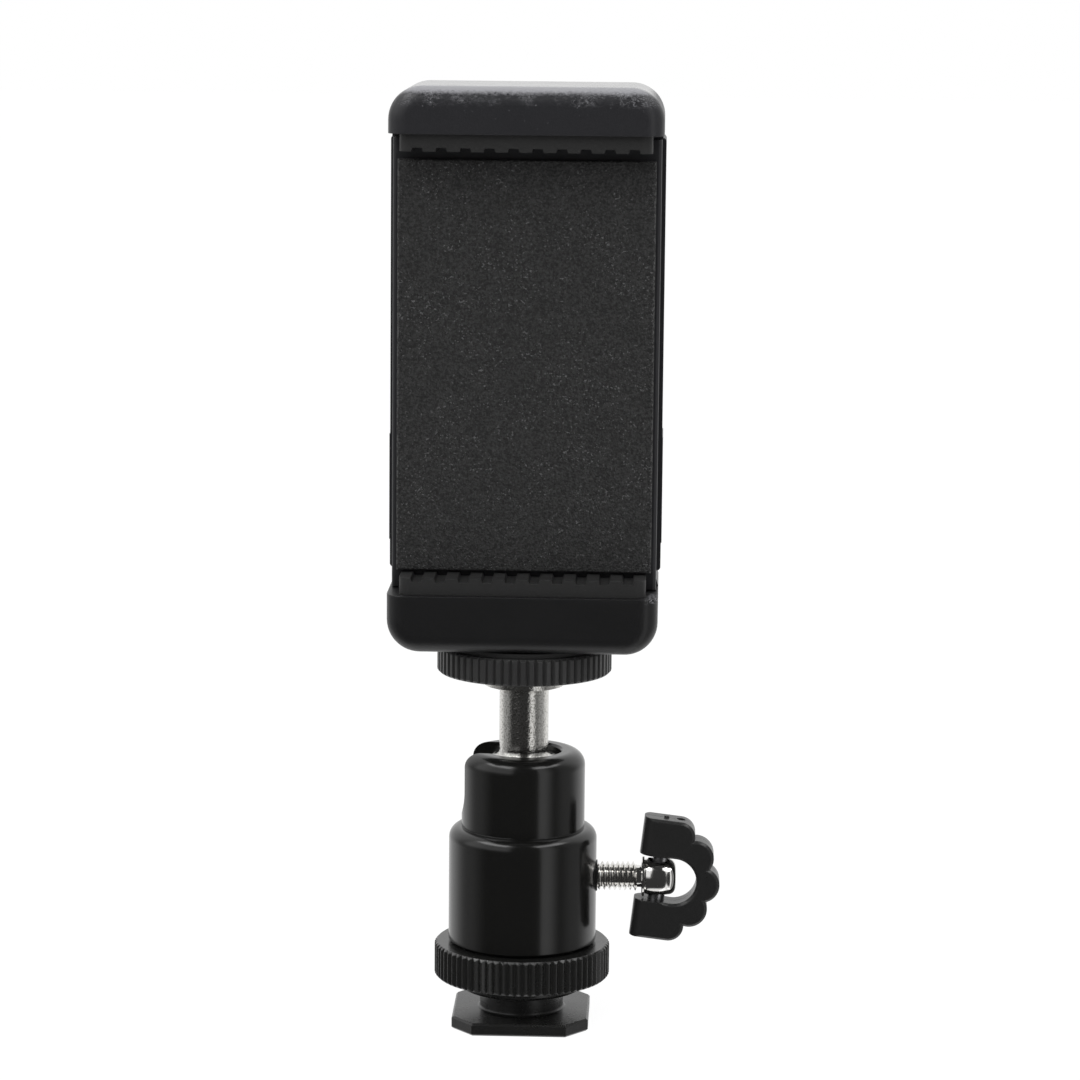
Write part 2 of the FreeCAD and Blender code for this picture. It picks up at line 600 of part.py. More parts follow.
def clip_body():
    jaw = jaw_block(CLAMP_BOTTOM, LOWER_JAW_TOP, False)
    shell = housing_shell()
    cavity = block(-TRAY_HALF_WIDTH, TRAY_HALF_WIDTH, HOUSING_FRONT_Y, TRAY_BACK_Y, FLOOR, HOUSING_TOP)
    body = jaw.fuse(shell).cut(cavity)
    bridge = block(-TRAY_HALF_WIDTH, TRAY_HALF_WIDTH, BRIDGE_FRONT_Y, TRAY_BACK_Y,
                   BRIDGE_BOTTOM, BRIDGE_TOP)
    body = body.fuse(bridge)
    rail_inner = TRAY_HALF_WIDTH - RAIL_DEPTH
    rail_z = POST_Z + 2 * COVER_POST_R
    for side in SIDES:
        low, high = sorted((side * rail_inner, side * TRAY_HALF_WIDTH))
        body = body.fuse(block(low, high, RAIL_FRONT_Y, RAIL_FRONT_Y + RAIL_THICK, rail_z, HOUSING_TOP))
        body = body.cut(upright(ROD_R + 2 * RUNNING, BRIDGE_BOTTOM, BRIDGE_TOP, side * ROD_X, ROD_Y))
        body = body.cut(tongue(side, RUNNING))
        body = body.cut(cover_screw_hole(side))
    body = body.cut(upright(INSERT_R + RUNNING / 2, CLAMP_BOTTOM, CLAMP_BOTTOM + INSERT_LENGTH + FACE_GAP))
    return body.removeSplitter()


def tongue(side, grow):
    """Ridge along the front cover's flange that sits in a groove of the housing wall."""
    middle = (COVER_HALF_WIDTH + TRAY_HALF_WIDTH) / 2
    half = TONGUE_THICK / 2 + grow
    low, high = sorted((side * (middle - half), side * (middle + half)))
    return block(low, high, HOUSING_FRONT_Y, HOUSING_FRONT_Y + TONGUE_DEPTH + grow,
                 HOUSING_BOTTOM + 2 * NECK_HEIGHT - grow, HOUSING_TOP - NECK_HEIGHT + grow)


def cover_screw_hole(side):
    x = side * COVER_POST_X
    shank = through_depth(SCREW_SHANK_R + 2 * RUNNING, TRAY_BACK_Y, CLAMP_BACK_Y, x, POST_Z)
    head_y = CLAMP_BACK_Y - SCREW_HEAD_HEIGHT - SCREW_HEAD_SINK
    head = through_depth(SCREW_HEAD_R + 2 * RUNNING, head_y, CLAMP_BACK_Y, x, POST_Z)
    return shank.fuse(head)


def front_cover():
    half = COVER_HALF_WIDTH
    bottom = LOWER_JAW_TOP + COVER_OVER_JAW
    plate = block(-half, half, COVER_FRONT_Y, HOUSING_FRONT_Y, bottom, HOUSING_TOP)
    front_sides = edges_where(plate, lambda box: box.ZLength > half and box.YMax < COVER_BACK_Y)
    plate = plate.makeFillet(COVER_EDGE, front_sides)
    inside = block(-TRAY_HALF_WIDTH, TRAY_HALF_WIDTH, COVER_BACK_Y, HOUSING_FRONT_Y, bottom, HOUSING_TOP)
    cover = plate.cut(inside)
    for side in SIDES:
        x = side * COVER_POST_X
        cover = cover.fuse(tongue(side, 0))
        cover = cover.fuse(through_depth(COVER_POST_R, COVER_BACK_Y, TRAY_BACK_Y - FACE_GAP, x, POST_Z))
        cover = cover.cut(through_depth(SCREW_SHANK_R, COVER_BACK_Y, TRAY_BACK_Y, x, POST_Z))
    return cover


def cover_screws():
    screws = []
    for side in SIDES:
        x = side * COVER_POST_X
        head_end = CLAMP_BACK_Y - SCREW_HEAD_SINK
        head_start = head_end - SCREW_HEAD_HEIGHT
        head = through_depth(SCREW_HEAD_R, head_start, head_end, x, POST_Z)
        shank = through_depth(SCREW_SHANK_R, head_start - SCREW_SHANK_LENGTH, head_start, x, POST_Z)
        socket = through_depth(SCREW_SOCKET_R, head_end - SCREW_SOCKET_DEPTH, head_end, x, POST_Z)
        screws.append(head.fuse(shank).cut(socket))
    return Part.makeCompound(screws)


def foam_pad():
    bottom = LOWER_JAW_TOP + LOWER_PAD_HEIGHT + FOAM_BELOW_GAP
    top = UPPER_JAW_BOTTOM - UPPER_PAD_HEIGHT - FOAM_ABOVE_GAP
    return block(-FOAM_HALF_WIDTH, FOAM_HALF_WIDTH, COVER_FRONT_Y - FOAM_THICK, COVER_FRONT_Y, bottom, top)


def toothed_pad(half, height, base_z, up):
    """Rubber strip whose teeth run from front to back, with rounded front corners."""
    direction = 1 if up else -1
    root_z = base_z + direction * (height - PAD_TOOTH_HEIGHT)
    tip_z = base_z + direction * height
    pitch = (2 * half - PAD_TOOTH_WIDTH) / (PAD_TEETH - 1)
    steps = [(half, base_z), (-half, base_z)]
    for tooth in range(PAD_TEETH):
        left = -half + tooth * pitch
        right = left + PAD_TOOTH_WIDTH
        if tooth > 0:
            steps.append((left - PAD_TOOTH_SLOPE, root_z))
        steps.append((left, tip_z))
        steps.append((right, tip_z))
        if tooth < PAD_TEETH - 1:
            steps.append((right + PAD_TOOTH_SLOPE, root_z))
    strip = pulled(steps, PAD_FRONT_Y, PAD_BACK_Y)
    low, high = sorted((base_z, tip_z))
    plan = block(-half, half, PAD_FRONT_Y, PAD_BACK_Y, low, high)
    corners = edges_where(plan, lambda box: box.ZLength > height / 2 and box.YMax < COVER_FRONT_Y - height)
    return strip.common(plan.makeFillet(PAD_CORNER_R, corners))


def lower_jaw_pad():
    return toothed_pad(JAW_HALF_WIDTH - LOWER_PAD_INSET, LOWER_PAD_HEIGHT, LOWER_JAW_TOP, True)


def upper_jaw_pad():
    return toothed_pad(JAW_HALF_WIDTH - UPPER_PAD_INSET, UPPER_PAD_HEIGHT, UPPER_JAW_BOTTOM, False)


def upper_jaw():
    jaw = jaw_block(UPPER_JAW_BOTTOM, UPPER_JAW_TOP, True)
    collar = block(-COLLAR_HALF_WIDTH, COLLAR_HALF_WIDTH, COVER_FRONT_Y + COLLAR_MARGIN,
                   CLAMP_BACK_Y - JAW_FACE_ROUND, COLLAR_BOTTOM, UPPER_JAW_BOTTOM)
    slide_foot = HOUSING_TOP - JAW_TRAVEL - SLIDE_OVERLAP
    plate = block(-SLIDE_HALF_WIDTH, SLIDE_HALF_WIDTH, SLIDE_FRONT_Y, SLIDE_BACK_Y,
                  slide_foot, COLLAR_BOTTOM)
    foot_corners = edges_where(plate, lambda box: box.YLength > THIN and box.ZMax < slide_foot + THIN)
    plate = plate.makeFillet(SLIDE_FOOT_ROUND, foot_corners)
    body = jaw.fuse([collar, plate])
    for side in SIDES:
        body = body.cut(upright(ROD_R, COLLAR_BOTTOM, UPPER_JAW_BOTTOM + ROD_IN_JAW, side * ROD_X, ROD_Y))
    return body.removeSplitter()


def guide_rod(side):
    return upright(ROD_R, ROD_FOOT, UPPER_JAW_BOTTOM + ROD_IN_JAW, side * ROD_X, ROD_Y)


def rod_nuts():
    nuts = []
    for side in SIDES:
        axis = (side * ROD_X, ROD_Y)
        corners = [on_circle(axis, NUT_R, 360.0 * corner / NUT_SIDES) for corner in range(NUT_SIDES + 1)]
        hexagon = [Vector(x, y, NUT_BOTTOM) for x, y in corners]
        nut = Part.Face(Part.makePolygon(hexagon)).extrude(Vector(0, 0, NUT_HEIGHT))
        nuts.append(nut.cut(upright(ROD_R, NUT_BOTTOM, NUT_TOP, side * ROD_X, ROD_Y)))
    return Part.makeCompound(nuts)


def return_spring(side):
    """Compression spring between the bridge and the rod's nut, with straight facets round each turn."""
    start = NUT_TOP + SPRING_WIRE / 2 + SPRING_END_GAP
    end = BRIDGE_BOTTOM - SPRING_WIRE / 2 - SPRING_END_GAP
    count = SPRING_TURNS * SPRING_STEPS_PER_TURN
    points = []
    for step in range(count + 1):
        x, y = on_circle((side * ROD_X, ROD_Y), SPRING_R, 360.0 * step / SPRING_STEPS_PER_TURN)
        points.append(Vector(x, y, start + (end - start) * step / count))
    path = Part.makePolygon(points)
    direction = (points[1] - points[0]).normalize()
    half = SPRING_WIRE / 2
    outward = X_AXIS * half
    rise = direction.cross(X_AXIS).normalize() * half
    corners = [points[0] + outward, points[0] + rise, points[0] - outward, points[0] - rise]
    section = Part.makePolygon(corners + corners[:1])
    return path.makePipeShell([section], True, True, 1)


def thread_insert():
    top = CLAMP_BOTTOM + INSERT_LENGTH
    middle = (CLAMP_BOTTOM + top) / 2
    inner = INSERT_R - INSERT_GROOVE
    low = middle - INSERT_GROOVE_HEIGHT / 2
    high = middle + INSERT_GROOVE_HEIGHT / 2
    bore = TRIPOD_THREAD_R + RUNNING
    return turned([
        (bore, CLAMP_BOTTOM), (INSERT_R, CLAMP_BOTTOM), (INSERT_R, low), (inner, low), (inner, high),
        (INSERT_R, high), (INSERT_R, top), (bore, top)])


def build():
    return {
        "shoe_foot": shoe_foot(),
        "lock_ring": lock_ring(),
        "base_plug": base_plug(),
        "ball_housing": ball_housing(),
        "ball_cup": ball_cup(),
        "ball_stem": ball_stem(),
        "lock_screw": lock_screw(),
        "knob_pin": knob_pin(),
        "lock_knob": lock_knob(),
        "mount_disc": mount_disc(),
        "disc_gasket": disc_gasket(),
        "thread_insert": thread_insert(),
        "clip_body": clip_body(),
        "front_cover": front_cover(),
        "cover_screws": cover_screws(),
        "foam_pad": foam_pad(),
        "lower_jaw_pad": lower_jaw_pad(),
        "upper_jaw": upper_jaw(),
        "upper_jaw_pad": upper_jaw_pad(),
        "guide_rod_left": guide_rod(-1),
        "guide_rod_right": guide_rod(1),
        "rod_nuts": rod_nuts(),
        "spring_left": return_spring(-1),
        "spring_right": return_spring(1),
    }


os.makedirs("parts", exist_ok=True)
for name, shape in build().items():
    shape.exportStep("parts/" + name + ".step")
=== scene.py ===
import json
import math
import bpy
from mathutils import Matrix, Vector


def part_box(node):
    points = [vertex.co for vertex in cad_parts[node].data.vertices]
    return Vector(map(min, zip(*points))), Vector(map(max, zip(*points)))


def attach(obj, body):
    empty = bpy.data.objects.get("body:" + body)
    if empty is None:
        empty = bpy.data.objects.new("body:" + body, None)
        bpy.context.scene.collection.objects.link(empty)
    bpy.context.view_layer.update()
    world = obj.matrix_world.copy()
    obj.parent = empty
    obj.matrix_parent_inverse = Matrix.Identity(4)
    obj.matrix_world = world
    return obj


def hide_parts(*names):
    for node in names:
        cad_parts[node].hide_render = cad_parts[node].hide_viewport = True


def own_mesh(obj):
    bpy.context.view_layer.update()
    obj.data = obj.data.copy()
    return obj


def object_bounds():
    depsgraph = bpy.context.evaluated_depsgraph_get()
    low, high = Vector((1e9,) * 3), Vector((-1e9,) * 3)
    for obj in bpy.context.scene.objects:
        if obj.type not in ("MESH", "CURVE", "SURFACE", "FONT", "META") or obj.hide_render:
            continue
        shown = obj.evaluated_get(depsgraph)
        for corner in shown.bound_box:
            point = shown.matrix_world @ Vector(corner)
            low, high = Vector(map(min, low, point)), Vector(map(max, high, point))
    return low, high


bl_info = {
    "name": "Phone Clamp on a Ball Head",
    "version": (1, 0, 0),
    "blender": (4, 5, 0),
    "location": "View3D > Sidebar > Clamp",
    "description": "Dresses the phone clamp, its ball head and its shoe foot, and sets a studio round them",
    "category": "Object",
}

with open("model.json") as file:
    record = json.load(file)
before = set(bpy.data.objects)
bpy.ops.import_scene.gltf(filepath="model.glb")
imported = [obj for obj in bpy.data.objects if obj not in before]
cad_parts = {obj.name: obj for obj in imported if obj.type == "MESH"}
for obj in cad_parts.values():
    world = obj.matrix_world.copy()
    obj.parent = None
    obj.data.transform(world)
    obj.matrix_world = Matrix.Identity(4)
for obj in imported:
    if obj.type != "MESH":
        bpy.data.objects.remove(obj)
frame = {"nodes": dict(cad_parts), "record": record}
NODES = frame["nodes"]
CAD_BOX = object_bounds()
MM = 0.001
SENSOR = 36.0

# Stage: levels of light, where 1 is white, and the room between the foot and the floor
FLOOR_GAP = 0.02 * MM
FLOOR_WHITE = 1.07
FLOOR_SEEN = 0.9
EVEN_LIGHT = 0.50

# Thickness of the foot's plate
FOOT_PLATE = 1.7 * MM

# Lock screw: places are measured from the barrel's axis
THREAD_R = 2.0 * MM
THREAD_START = 0.3 * MM
THREAD_END = 0.1 * MM
RIDGE_SINK = 0.1 * MM
RIDGE_FOOT = 0.92
RIDGE_CREST = 0.16
SCREW_TIP_R = 0.7 * MM
SCREW_TIP_LENGTH = 1.3 * MM
SCREW_NECK_R = 1.52 * MM
SCREW_NECK_X = 15.6 * MM
SCREW_STEP = 0.05 * MM
SCREW_HEAD_X = 16.3 * MM
HEAD_END_R = 2.44 * MM
HEAD_CORNER = 1.05 * MM
HEAD_HOLE_R = 1.51 * MM

# Collar and barrelled side of the screw's head: radius and place behind its front, in millimetres
HEAD_OUTLINE = (
    (2.6, 0), (2.75, 0.12), (2.75, 0.36), (2.36, 0.46), (2.48, 0.75), (2.58, 1.15), (2.64, 1.7),
    (2.65, 2.3), (2.61, 2.9), (2.52, 3.4))

ANODISED = ("shoe_foot", "lock_ring", "ball_housing", "base_plug")
SPRINGS = ("spring_left", "spring_right")
STEEL = ("knob_pin", "cover_screws", "guide_rod_left", "guide_rod_right", "rod_nuts", "ball_cup", *SPRINGS)
MOULDED = ("clip_body", "front_cover", "upper_jaw")
RUBBER = ("lower_jaw_pad", "upper_jaw_pad")


# Shader maths

class Field:
    """A shader socket that Python sums can use."""

    def __init__(self, finish, socket):
        self.finish = finish
        self.socket = socket

    def maths(self, operation, *values):
        return self.finish.node("ShaderNodeMath", {"operation": operation}, values)

    def __add__(self, other):
        return self.maths("ADD", self, other)

    def __sub__(self, other):
        return self.maths("SUBTRACT", self, other)

    def __rsub__(self, other):
        return self.maths("SUBTRACT", other, self)

    def __mul__(self, other):
        return self.maths("MULTIPLY", self, other)

    def __abs__(self):
        return self.maths("ABSOLUTE", self)

    __radd__ = __add__
    __rmul__ = __mul__


class Finish:
    """One material or world and its nodes."""

    def __init__(self, owner):
        owner.use_nodes = True
        self.owner = owner
        self.tree = owner.node_tree
        self.tree.nodes.clear()

    def node(self, kind, settings, sockets, output=0):
        made = self.tree.nodes.new(kind)
        for key, value in settings.items():
            setattr(made, key, value)
        pairs = sockets.items() if isinstance(sockets, dict) else enumerate(sockets)
        for key, value in pairs:
            if isinstance(value, Field):
                self.tree.links.new(value.socket, made.inputs[key])
            else:
                made.inputs[key].default_value = value
        return Field(self, made.outputs[output]) if made.outputs else None

    def place(self, stretch=(1, 1, 1), turn=(0, 0, 0)):
        """Object coordinates, stretched or turned."""
        spot = self.node("ShaderNodeTexCoord", {}, {}, "Object")
        return self.node("ShaderNodeMapping", {}, {"Vector": spot, "Scale": stretch, "Rotation": turn})

    def along(self, axis):
        """Place along one axis of the model, in metres."""
        spot = self.node("ShaderNodeTexCoord", {}, {}, "Object")
        return self.node("ShaderNodeSeparateXYZ", {}, {"Vector": spot}, axis)

    def noise(self, size, detail=2.0, rough=0.5, stretch=(1, 1, 1), turn=(0, 0, 0), warp=0.0):
        """Cloudy noise whose grains are about size metres across."""
        return self.node("ShaderNodeTexNoise", {}, {
            "Vector": self.place(stretch, turn), "Scale": 1.0 / size, "Detail": detail, "Roughness": rough,
            "Distortion": warp}, "Fac")

    def cells(self, size):
        """Distance from the middle of the nearest cell."""
        sockets = {"Vector": self.place(), "Scale": 1.0 / size}
        return self.node("ShaderNodeTexVoronoi", {}, sockets, "Distance")

    def step(self, field, low, high):
        """0 below low, 1 above high and smooth between; low may be the larger."""
        return self.node("ShaderNodeMapRange", {"interpolation_type": "SMOOTHSTEP"}, {
            "Value": field, "From Min": low, "From Max": high})

    def blend(self, share, first, second):
        first = (*first, 1) if isinstance(first, tuple) else first
        second = (*second, 1) if isinstance(second, tuple) else second
        return self.node("ShaderNodeMix", {"data_type": "RGBA"}, {0: share, 6: first, 7: second}, 2)

    def rounded(self, radius):
        return self.node("ShaderNodeBevel", {"samples": 6}, {"Radius": radius})

    def bump(self, height, depth, under=None):
        sockets = {"Height": height, "Strength": 1.0, "Distance": depth}
        if under is not None:
            sockets["Normal"] = under
        return self.node("ShaderNodeBump", {}, sockets)

    def surface(self, **sockets):
        """Principled shader; sockets by their names, with _ for a space."""
        named = {}
        for key, value in sockets.items():
            named[key.replace("_", " ")] = (*value, 1) if isinstance(value, tuple) else value
        shade = self.node("ShaderNodeBsdfPrincipled", {}, named)
        self.node("ShaderNodeOutputMaterial", {}, {"Surface": shade})
        return self.owner


def finish(name):
    return Finish(bpy.data.materials.new(name))


def dress(obj, material):
    obj.data.materials.clear()
    obj.data.materials.append(material)


def dress_nodes(names, material):
    for name in names:
        dress(NODES[name], material)


# Mesh steps

def deselect():
    if bpy.context.object and bpy.context.object.mode != "OBJECT":
        bpy.ops.object.mode_set(mode="OBJECT")
    bpy.ops.object.select_all(action="DESELECT")


def started(name):
    """Names the primitive that was just added and puts its place into its mesh."""
    obj = bpy.context.object
    obj.name = name
    obj.data.name = name
    bpy.ops.object.transform_apply(location=True, rotation=True, scale=True)
    return obj


def only(obj):
    deselect()
    obj.select_set(True)
    bpy.context.view_layer.objects.active = obj


def edit(obj):
    only(obj)
    bpy.ops.object.mode_set(mode="EDIT")
    bpy.ops.mesh.select_all(action="DESELECT")


def pick(obj, kind, test):
    """Selects the vertices, edges or faces that pass the test, in edit mode."""
    bpy.ops.object.mode_set(mode="OBJECT")
    mesh = obj.data
    for group in (mesh.vertices, mesh.edges, mesh.polygons):
        group.foreach_set("select", [False] * len(group))
    for element in getattr(mesh, kind):
        element.select = bool(test(element))
    bpy.ops.object.mode_set(mode="EDIT")
    bpy.ops.mesh.select_mode(type={"vertices": "VERT", "edges": "EDGE", "polygons": "FACE"}[kind])


def modify(obj, kind, **settings):
    only(obj)
    modifier = obj.modifiers.new(kind.title(), kind)
    for key, value in settings.items():
        setattr(modifier, key, value)
    bpy.ops.object.modifier_apply(modifier=modifier.name)


def join(pieces):
    only(pieces[0])
    for piece in pieces[1:]:
        piece.select_set(True)
    bpy.ops.object.join()
    return pieces[0]


def smooth(obj, degrees):
    only(obj)
    bpy.ops.object.shade_smooth_by_angle(angle=math.radians(degrees))


def lathe(name, steps, sides):
    """Turned form about Z: a disc that is extruded and resized from one (radius, height) to the next."""
    deselect()
    radius, height = steps[0]
    bpy.ops.mesh.primitive_circle_add(
        vertices=sides, radius=radius, fill_type="NGON", location=(0, 0, height))
    obj = started(name)
    edit(obj)
    bpy.ops.mesh.select_all(action="SELECT")
    for next_radius, next_height in steps[1:]:
        bpy.ops.mesh.extrude_region_move(TRANSFORM_OT_translate={"value": (0, 0, next_height - height)})
        grow = next_radius / radius
        bpy.ops.transform.resize(value=(grow, grow, 1), center_override=(0, 0, next_height))
        radius, height = next_radius, next_height
    bpy.ops.mesh.select_all(action="SELECT")
    bpy.ops.mesh.normals_make_consistent(inside=False)
    bpy.ops.object.mode_set(mode="OBJECT")
    return obj


def finished(obj, body, node, material):
    """Puts the piece on its body in place of its CAD node."""
    dress(obj, material)
    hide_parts(node)
    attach(obj, body)


# Settings

class ClampColours(bpy.types.PropertyGroup):
    plastic: bpy.props.FloatVectorProperty(
        name="Plastic", description="Moulded plastic of the jaws, the housing and the cover",
        subtype="COLOR", size=3, min=0, max=1, default=(0.018, 0.018, 0.0205))
    # Light colour of the scuffs and chips, also used for the painted highlights along the upper jaw's front
    # edge.
    wear_and_highlight: bpy.props.FloatVectorProperty(
        name="Scuffs", description="Scuffed plastic along the upper jaw's front edge",
        subtype="COLOR", size=3, min=0, max=1, default=(0.30, 0.30, 0.32))
    knob: bpy.props.FloatVectorProperty(
        name="Knob", description="Moulded plastic of the folding knob",
        subtype="COLOR", size=3, min=0, max=1, default=(0.016, 0.016, 0.016))
    anodised: bpy.props.FloatVectorProperty(
        name="Anodised metal", description="Black finish of the barrel, the lock ring and the foot",
        subtype="COLOR", size=3, min=0, max=1, default=(0.007, 0.007, 0.0066))
    disc: bpy.props.FloatVectorProperty(
        name="Locking disc", description="Matter black finish of the disc under the clamp",
        subtype="COLOR", size=3, min=0, max=1, default=(0.027, 0.027, 0.027))
    nickel: bpy.props.FloatVectorProperty(
        name="Nickel", description="Plating of the ball's stem",
        subtype="COLOR", size=3, min=0, max=1, default=(0.72, 0.71, 0.68))
    chrome: bpy.props.FloatVectorProperty(
        name="Chrome", description="Plating of the lock screw",
        subtype="COLOR", size=3, min=0, max=1, default=(0.86, 0.85, 0.83))
    steel: bpy.props.FloatVectorProperty(
        name="Steel", description="Pins, rods, springs and small screws",
        subtype="COLOR", size=3, min=0, max=1, default=(0.45, 0.45, 0.46))
    brass: bpy.props.FloatVectorProperty(
        name="Brass", description="Threaded insert under the clamp",
        subtype="COLOR", size=3, min=0, max=1, default=(0.62, 0.45, 0.2))
    foam: bpy.props.FloatVectorProperty(
        name="Foam", description="Foam sheet behind the phone",
        subtype="COLOR", size=3, min=0, max=1, default=(0.041, 0.041, 0.041))
    rubber: bpy.props.FloatVectorProperty(
        name="Rubber", description="Toothed pads on the jaws and the face of the disc",
        subtype="COLOR", size=3, min=0, max=1, default=(0.018, 0.018, 0.018))


class ClampSizes(bpy.types.PropertyGroup):
    thread_pitch: bpy.props.FloatProperty(
        name="Thread pitch", description="Pitch of the lock screw's thread",
        unit="LENGTH", min=0.0003, max=0.002, default=0.0007)
    thread_depth: bpy.props.FloatProperty(
        name="Thread depth", description="How deep the lock screw's thread is cut",
        unit="LENGTH", min=0.0001, max=0.001, default=0.00043)
    foam_round: bpy.props.FloatProperty(
        name="Foam edge", description="Rounding of the foam sheet's edges",
        unit="LENGTH", min=0.00005, max=0.0006, default=0.0003)
    foam_wave: bpy.props.FloatProperty(
        name="Foam waviness", description="How far the foam sheet's face strays from flat",
        unit="LENGTH", min=0.0, max=0.0003, default=0.00008)
    edge_round: bpy.props.FloatProperty(
        name="Moulded edge", description="Softness of the light that the moulded edges catch",
        unit="LENGTH", min=0.0, max=0.001, default=0.00022)


class StudioSettings(bpy.types.PropertyGroup):
    distance: bpy.props.FloatProperty(
        name="Camera distance", description="From the object's axis to the camera",
        unit="LENGTH", min=0.1, max=5.0, default=0.4932)
    azimuth: bpy.props.FloatProperty(
        name="Camera azimuth", description="How far the camera stands round to the knob's side",
        subtype="ANGLE", default=math.radians(1.9))
    pitch: bpy.props.FloatProperty(
        name="Camera pitch", description="How far the camera looks down",
        subtype="ANGLE", default=math.radians(9.25))
    roll: bpy.props.FloatProperty(
        name="Camera roll", description="Turn of the camera about its own axis",
        subtype="ANGLE", default=math.radians(0.55))
    height: bpy.props.FloatProperty(
        name="Camera height", description="Camera above the floor",
        unit="LENGTH", min=-1.0, max=3.0, default=0.147)
    aside: bpy.props.FloatProperty(
        name="Camera offset", description="How far the camera's axis passes beside the object's axis",
        unit="LENGTH", min=-0.2, max=0.2, default=0.00195)
    lens: bpy.props.FloatProperty(
        name="Lens", description="Focal length on a 36 mm sensor",
        min=10, max=500, default=123.33)
    floor: bpy.props.FloatVectorProperty(
        name="Floor", description="Colour of the floor",
        subtype="COLOR", size=3, min=0, max=1, default=(0.86, 0.86, 0.86))


# Finishes

def moulded_plastic(colours, sizes):
    """Satin black plastic with a glossier top. The upper jaw's front edge has scuffs that are partly
    painted highlight and a painted highlight line, and the lower jaw is darkened with painted shade.
    """
    mix = finish("moulded_plastic")
    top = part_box("upper_jaw")[1].z
    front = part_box("upper_jaw")[0].y
    lower_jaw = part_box("lower_jaw_pad")[0].z
    height = mix.along("Z")
    depth = mix.along("Y")
    width = mix.along("X")
    grain = mix.noise(0.00035, 3, 0.6)
    cloud = mix.noise(0.006, 3, 0.6)
    rim = mix.step(height, top - 2.9 * MM, top - 1.7 * MM)
    rim = rim * mix.step(depth, front + 3.7 * MM, front + 2.2 * MM)
    roof = mix.step(height, top - 1.7 * MM, top - 0.4 * MM)
    # Painted shade: below the lower jaw's pad the plastic is coloured darker, standing in for the light
    # that the lower jaw catches less of.
    low = mix.step(height, lower_jaw + 3.1 * MM, lower_jaw - 0.9 * MM)
    sides = mix.step(abs(width), 5.0 * MM, 14.5 * MM)
    crinkle = mix.noise(0.0006, 4, 0.75, (0.6, 1, 1.2), (0, 0.4, 0), 0.6)
    line = mix.step(abs(crinkle - 0.52), 0.035, 0.008)
    patch = mix.step(mix.noise(0.0022, 3, 0.6), 0.42, 0.62)
    fleck = mix.step(mix.noise(0.00042, 2, 0.8, (0.7, 1, 1)), 0.60, 0.68)
    # Scuffs along the upper jaw's front edge, lighter in colour: partly real wear and partly painted
    # highlight of the glints on their ridges.
    scuff_and_glint = (line * 0.45 + fleck * 0.45) * patch * rim * (sides * 0.5 + 0.5)
    # Painted highlight: a light line along the upper jaw's top front edge, where the top face meets the
    # rounded front.
    ragged = mix.noise(0.0005, 3, 0.8) * 0.0010
    painted_edge_highlight = mix.step(height + ragged, top - 0.7 * MM, top + 0.2 * MM)
    painted_edge_highlight = painted_edge_highlight * mix.step(depth, front + 3.7 * MM, front + 2.1 * MM)
    marks = mix.step(mix.noise(0.0006, 2, 0.8), 0.70, 0.76)
    marks = marks * mix.step(height, top - 6.4 * MM, top - 1.9 * MM) * 0.5
    chip = mix.step(mix.noise(0.00032, 2, 0.8), 0.52, 0.60) * mix.step(width, 16.0 * MM, 17.2 * MM)
    chip = chip * mix.step(abs(height - lower_jaw), 0.8 * MM, 0.3 * MM)
    chip = chip * mix.step(depth, front + 6.5 * MM, front + 3.5 * MM)
    # Real scuffs, marks and chips together with the painted highlights; they lighten the colour and raise
    # the roughness.
    wear_and_highlight = scuff_and_glint + marks + painted_edge_highlight + chip
    wear_and_highlight_share = wear_and_highlight.maths("MINIMUM", wear_and_highlight, 1.0)
    # The darker colour here is the painted shade of the lower jaw.
    plain = mix.blend(low, tuple(colours.plastic), (0.0085, 0.0085, 0.009))
    colour = mix.blend(wear_and_highlight_share, plain, tuple(colours.wear_and_highlight))
    rough = 0.34 + cloud * 0.10 + wear_and_highlight_share * 0.20 - roof * 0.22
    edge = mix.rounded(sizes.edge_round)
    skin = mix.bump((grain * 0.35 + crinkle * rim * 0.7 + scuff_and_glint * 0.5) * (1 - roof * 0.6), 0.00006, edge)
    return mix.surface(
        Base_Color=colour, Roughness=rough, Normal=skin, IOR=1.5,
        Coat_Weight=roof * 0.4, Coat_Roughness=0.10, Coat_IOR=1.5)


def knob_plastic(colours, sizes):
    """Satin plastic with the line where the mould's halves met."""
    mix = finish("knob_plastic")
    depth = mix.along("Y")
    seam = mix.step(abs(depth), 0.00014, 0.00005)
    grain = mix.noise(0.00030, 3, 0.6)
    cloud = mix.noise(0.003, 3, 0.6)
    colour = mix.blend(seam * 0.6, tuple(colours.knob), (0.004, 0.004, 0.004))
    rough = 0.24 + cloud * 0.12
    edge = mix.rounded(sizes.edge_round)
    skin = mix.bump(grain * 0.4 - seam * 2.0, 0.00004, edge)
    return mix.surface(Base_Color=colour, Roughness=rough, Normal=skin, IOR=1.5)


